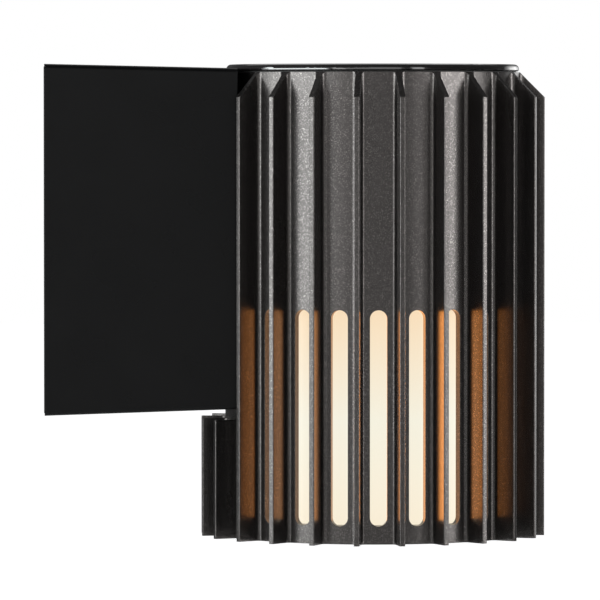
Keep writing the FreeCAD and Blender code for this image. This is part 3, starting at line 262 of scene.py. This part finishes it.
# Dark tone, light tone, roughness from and to, share of metal, grain, and depth where given
PLAIN_FINISHES = {
    "zinc_steel": ((0.46, 0.46, 0.45), (0.58, 0.58, 0.56), (0.46, 0.60), 1.0, 0.8),
    "black_screw": ((0.018, 0.018, 0.019), (0.035, 0.034, 0.033), (0.30, 0.44), 0.6, 0.5),
    "brass_metal": ((0.62, 0.45, 0.20), (0.76, 0.58, 0.28), (0.22, 0.36), 1.0, 0.7),
    "nickel_shell": ((0.58, 0.56, 0.52), (0.70, 0.68, 0.63), (0.18, 0.30), 1.0, 0.7),
    "black_rubber": ((0.014, 0.014, 0.014), (0.026, 0.026, 0.025), (0.62, 0.80), 0.0, 0.4, 0.04),
    "white_ceramic": ((0.74, 0.72, 0.67), (0.82, 0.80, 0.76), (0.16, 0.26), 0.0, 2.5),
    "white_plastic": ((0.72, 0.72, 0.69), (0.80, 0.80, 0.77), (0.42, 0.56), 0.0, 0.5),
    "board_white": ((0.70, 0.70, 0.68), (0.78, 0.78, 0.76), (0.40, 0.52), 0.0, 0.6),
    "black_glass": ((0.010, 0.010, 0.013), (0.018, 0.018, 0.022), (0.08, 0.16), 0.0, 3.0),
    "brown_sleeve": ((0.12, 0.05, 0.022), (0.18, 0.08, 0.035), (0.34, 0.50), 0.0, 0.6),
    "blue_sleeve": ((0.025, 0.085, 0.33), (0.04, 0.12, 0.42), (0.34, 0.50), 0.0, 0.6),
}


def dress_nodes():
    """Gives each node the material of its slot in the record."""
    special = [
        sparkle_black(), satin_black_box(), gloss_black_cap(), opal_diffuser(), opal_bulb(),
        striped_sleeve()]
    plain = [plain_finish(name, *finish) for name, finish in PLAIN_FINISHES.items()]
    materials = {material.name: material for material in special + plain}
    for subpart in frame["record"]["subparts"]:
        piece = frame["nodes"][subpart["node"]]
        piece.data.materials.clear()
        piece.data.materials.append(materials[subpart["material_slot"]])


# Camera, as fitted to the photograph

CAMERA_PLACE = Vector((-1.9085, -0.0315, 0.0413))
CAMERA_HEADING = math.radians(-1.6)
CAMERA_PITCH = math.radians(-1.86)
CAMERA_LENS = 343.8
CAMERA_SENSOR = 36.0


def direction(heading, rise):
    """Unit vector: heading turns from +X towards +Y, and rise lifts it."""
    level = math.cos(rise)
    return Vector((level * math.cos(heading), level * math.sin(heading), math.sin(rise)))


def aim(piece, towards):
    piece.rotation_euler = towards.to_track_quat("-Z", "Y").to_euler()


def place_camera():
    data = bpy.data.cameras.new("camera")
    data.lens = CAMERA_LENS
    data.sensor_width = CAMERA_SENSOR
    camera = bpy.data.objects.new("camera", data)
    camera.location = CAMERA_PLACE
    aim(camera, direction(CAMERA_HEADING, CAMERA_PITCH))
    bpy.context.scene.collection.objects.link(camera)
    bpy.context.scene.camera = camera


# Studio lights. Heading in degrees from the camera's side towards the wall, rise in degrees,
# distance from the lamp's axis, width, height, radiance, and colour where it isn't white.
SOFTBOXES = {
    "wall_side_light": (66, 6, 1.2, 1.30, 0.68, 6.75, (0.94, 0.985, 1.0)),
    "room_side_light": (-66, 5.5, 1.2, 1.0, 0.70, 6.2, (0.98, 0.985, 0.99)),
    "wall_side_edge_light": (28, 6, 1.2, 0.2, 0.68, 2.2),
    "room_side_edge_light": (-33, 5.5, 1.2, 0.2, 0.70, 1.9),
    "camera_side_light": (2, 5, 1.5, 1.2, 0.85, 0.85),
    "room_back_light": (-143, 2, 1.4, 0.5, 0.45, 1.0),
    "back_light": (180, 55, 1.6, 1.4, 1.4, 1.0),
}


def area_light(name, place, facing, width, height, radiance, colour):
    """A rectangular light of even radiance, which the camera doesn't see."""
    data = bpy.data.lights.new(name, "AREA")
    data.shape = "RECTANGLE"
    data.size, data.size_y = width, height
    data.energy = radiance * width * height * math.pi
    data.color = colour
    light = bpy.data.objects.new(name, data)
    light.location = place
    aim(light, facing)
    light.visible_camera = False
    bpy.context.scene.collection.objects.link(light)
    return light


def softbox(name, heading, rise, distance, width, height, radiance, colour=(1, 1, 1)):
    """A soft light that faces the lamp."""
    away = direction(math.pi - math.radians(heading), math.radians(rise))
    return area_light(name, AXIS + away * distance, -away, width, height, radiance, colour)


def keep_off(light, piece):
    """The light leaves the piece unlit."""
    unlit = bpy.data.collections.new(f"unlit_by_{light.name}")
    unlit.objects.link(piece)
    unlit.collection_objects[0].light_linking.link_state = "EXCLUDE"
    light.light_linking.receiver_collection = unlit


def light_studio():
    lights = {name: softbox(name, *setting) for name, setting in SOFTBOXES.items()}
    # The photograph's cap mirrors no light on the room side, though the fins do
    keep_off(lights["room_side_light"], frame["nodes"]["top_cap"])


# The lamp's warm light in and beside the slots. The heights are those of the slots in the
# finned body, and reach is the distance of a light from the lamp's axis.
SLOT_LOW, SLOT_HIGH = -0.0911, -0.0229
SLOT_PITCH = math.radians(15)
SLOTS_EACH_SIDE = 9
SLOT_GLOW = {"reach": 0.0466, "width": 0.0056, "radiance": 0.9}
FIN_GLOW = {"reach": 0.0496, "width": 0.0075, "radiance": 1.75}
GLOW_SPREAD = math.radians(150)
GLOW_COLOUR = (1.0, 0.35, 0.06)
# Brightness of the glow from each slot, counted from the front one, as the photograph shows it
SLOT_LEVELS = (0.3, 0.3, 0.4, 0.78, 1.4, 2.1, 1.6, 0.72, 0.6, 1.0)


def glow_light(name, turn, level, reach, width, radiance):
    """A warm light as high as a slot, that faces away from the lamp's axis."""
    away = Vector((math.sin(turn), -math.cos(turn), 0))
    middle = Vector((AXIS.x, AXIS.y, (SLOT_LOW + SLOT_HIGH) / 2))
    light = area_light(
        name, middle + away * reach, away, width, SLOT_HIGH - SLOT_LOW, level * radiance,
        GLOW_COLOUR)
    light.data.spread = GLOW_SPREAD


def light_slots():
    """The glow in each slot and on the fins beside it."""
    for number in range(-SLOTS_EACH_SIDE, SLOTS_EACH_SIDE + 1):
        place = number + SLOTS_EACH_SIDE
        level = SLOT_LEVELS[abs(number)]
        glow_light(f"slot_glow_{place}", number * SLOT_PITCH, level, **SLOT_GLOW)
        glow_light(f"fin_glow_{place}", number * SLOT_PITCH, level, **FIN_GLOW)


# World and floor

# Pieces mirror white only around this heading, on the room side behind the light. The white
# fades in between the two cosines of the angle to it.
BACKDROP_HEADING = math.radians(-33)
BACKDROP_FADE = 0.92, 0.97
FILL_LIGHT = (0.07, 0.07, 0.071, 1)
WHITE = (1, 1, 1, 1)
FLOOR_DROP = 0.26
FLOOR_REACH = 9.0
# Shown brightness of the floor under the light, and the distances between which it turns white
FLOOR_NEAR = 0.55
FLOOR_FADE = 0.6, 2.0


def towards_backdrop(tree, way):
    """One towards the part of the studio that pieces mirror as white, and zero elsewhere."""
    inputs = {0: way}
    level = add_node(tree, "ShaderNodeVectorMath", {"operation": "NORMALIZE"}, inputs)
    inputs = {0: level.outputs["Vector"], 1: direction(BACKDROP_HEADING, 0)}
    along = add_node(tree, "ShaderNodeVectorMath", {"operation": "DOT_PRODUCT"}, inputs)
    return span(tree, along.outputs["Value"], 0.0, 1.0, *BACKDROP_FADE)


def set_world():
    """White for the camera, in glass and in some reflections, and a dim even light on the rest."""
    world = bpy.data.worlds.new("studio")
    world.use_nodes = True
    tree = world.node_tree
    tree.nodes.clear()
    rays = add_node(tree, "ShaderNodeLightPath").outputs
    way = add_node(tree, "ShaderNodeTexCoord").outputs["Generated"]
    mirrored = combine(tree, "MULTIPLY", rays["Is Glossy Ray"], towards_backdrop(tree, way))
    seen = combine(tree, "MAXIMUM", rays["Is Camera Ray"], rays["Is Transmission Ray"])
    seen = combine(tree, "MAXIMUM", seen, mirrored)
    fill = add_node(tree, "ShaderNodeBackground", inputs={"Color": FILL_LIGHT})
    white = add_node(tree, "ShaderNodeBackground", inputs={"Color": WHITE})
    mix = add_node(tree, "ShaderNodeMixShader", inputs={
        0: seen, 1: fill.outputs["Background"], 2: white.outputs["Background"]})
    output = add_node(tree, "ShaderNodeOutputWorld")
    tree.links.new(mix.outputs["Shader"], output.inputs["Surface"])
    bpy.context.scene.world = world


def lay_floor():
    """A pale floor under the light, shown near white, that keeps shadows."""
    mesh = bpy.data.meshes.new("floor")
    floor_z = cad_box[0][2] - FLOOR_DROP
    corners = [(-1, -1), (1, -1), (1, 1), (-1, 1)]
    points = [(x * FLOOR_REACH, y * FLOOR_REACH, floor_z) for x, y in corners]
    mesh.from_pydata(points, [], [(0, 1, 2, 3)])
    floor = bpy.data.objects.new("floor", mesh)
    bpy.context.scene.collection.objects.link(floor)
    material, tree, shader = new_material("pale_floor")
    rays = add_node(tree, "ShaderNodeLightPath").outputs
    place = place_on_piece(tree)
    reach = add_node(tree, "ShaderNodeVectorMath", {"operation": "LENGTH"}, {0: place})
    white = span(tree, reach.outputs["Value"], FLOOR_NEAR, 1.0, *FLOOR_FADE)
    mirrored = combine(tree, "MULTIPLY", rays["Is Glossy Ray"], towards_backdrop(tree, place))
    seen = combine(tree, "MAXIMUM", rays["Is Camera Ray"], mirrored)
    cloud = noise(tree, 0.4)
    set_inputs(
        tree, shader, Base_Color=tones(tree, cloud, (0.83, 0.83, 0.83), (0.86, 0.86, 0.86)),
        Roughness=0.8, Specular_IOR_Level=0.0, Emission_Color=WHITE,
        Emission_Strength=combine(tree, "MULTIPLY", seen, white))
    mesh.materials.append(material)
    floor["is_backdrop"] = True


dress_nodes()
place_camera()
light_studio()
light_slots()
set_world()
lay_floor()
bpy.context.scene.view_settings.view_transform = "Standard"

sizes = {"cad": cad_box, "visual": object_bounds()}
sizes = {name: [[float(x) for x in corner] for corner in corners] for name, corners in sizes.items()}
